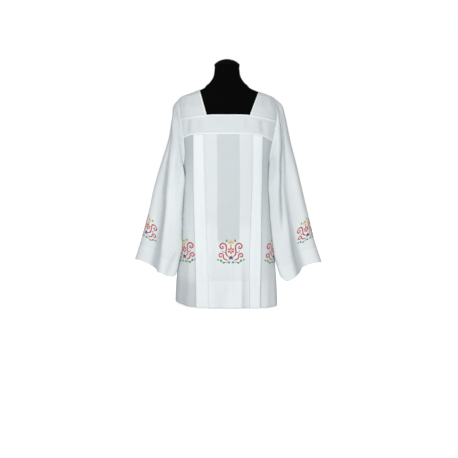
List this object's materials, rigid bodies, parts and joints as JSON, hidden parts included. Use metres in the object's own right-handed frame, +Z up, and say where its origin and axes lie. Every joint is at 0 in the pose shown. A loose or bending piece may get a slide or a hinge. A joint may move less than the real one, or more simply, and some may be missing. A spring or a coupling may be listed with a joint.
{
  "type": "surplice on a dress form",
  "caption": "White pleated surplice with square yoke, wide open sleeves and small bright embroidered ornaments, worn by a limbless black dress form on a short stand.",
  "frame": {"origin": "centre of the underside of the stand's round base, on the floor", "axes": "+Z up, -Y towards the front of the garment, +X to the right as seen from the front"},
  "size_m": [0.813, 0.281, 1.071],
  "materials": {
    "cloth": "fine white plain weave, slightly sheer, soft sheen",
    "form_cover": "matte black knitted cover",
    "form_cap": "smooth matte black",
    "stand_metal": "satin black",
    "embroidery_red": "satin stitch thread with a soft sheen",
    "embroidery_green": "satin stitch thread with a soft sheen",
    "embroidery_violet": "satin stitch thread with a soft sheen",
    "embroidery_yellow": "satin stitch thread with a soft sheen"
  },
  "bodies": {
    "root": {"yoke_front_band": "cloth", "yoke_back_band": "cloth", "skirt_front": "cloth", "skirt_back": "cloth", "shoulder_left": "cloth", "shoulder_right": "cloth", "sleeve_left": "cloth", "sleeve_right": "cloth", "form_torso": "form_cover", "form_neck_cap": "form_cap", "form_pole": "stand_metal", "form_base": "stand_metal"}
  },
  "joints": []
}
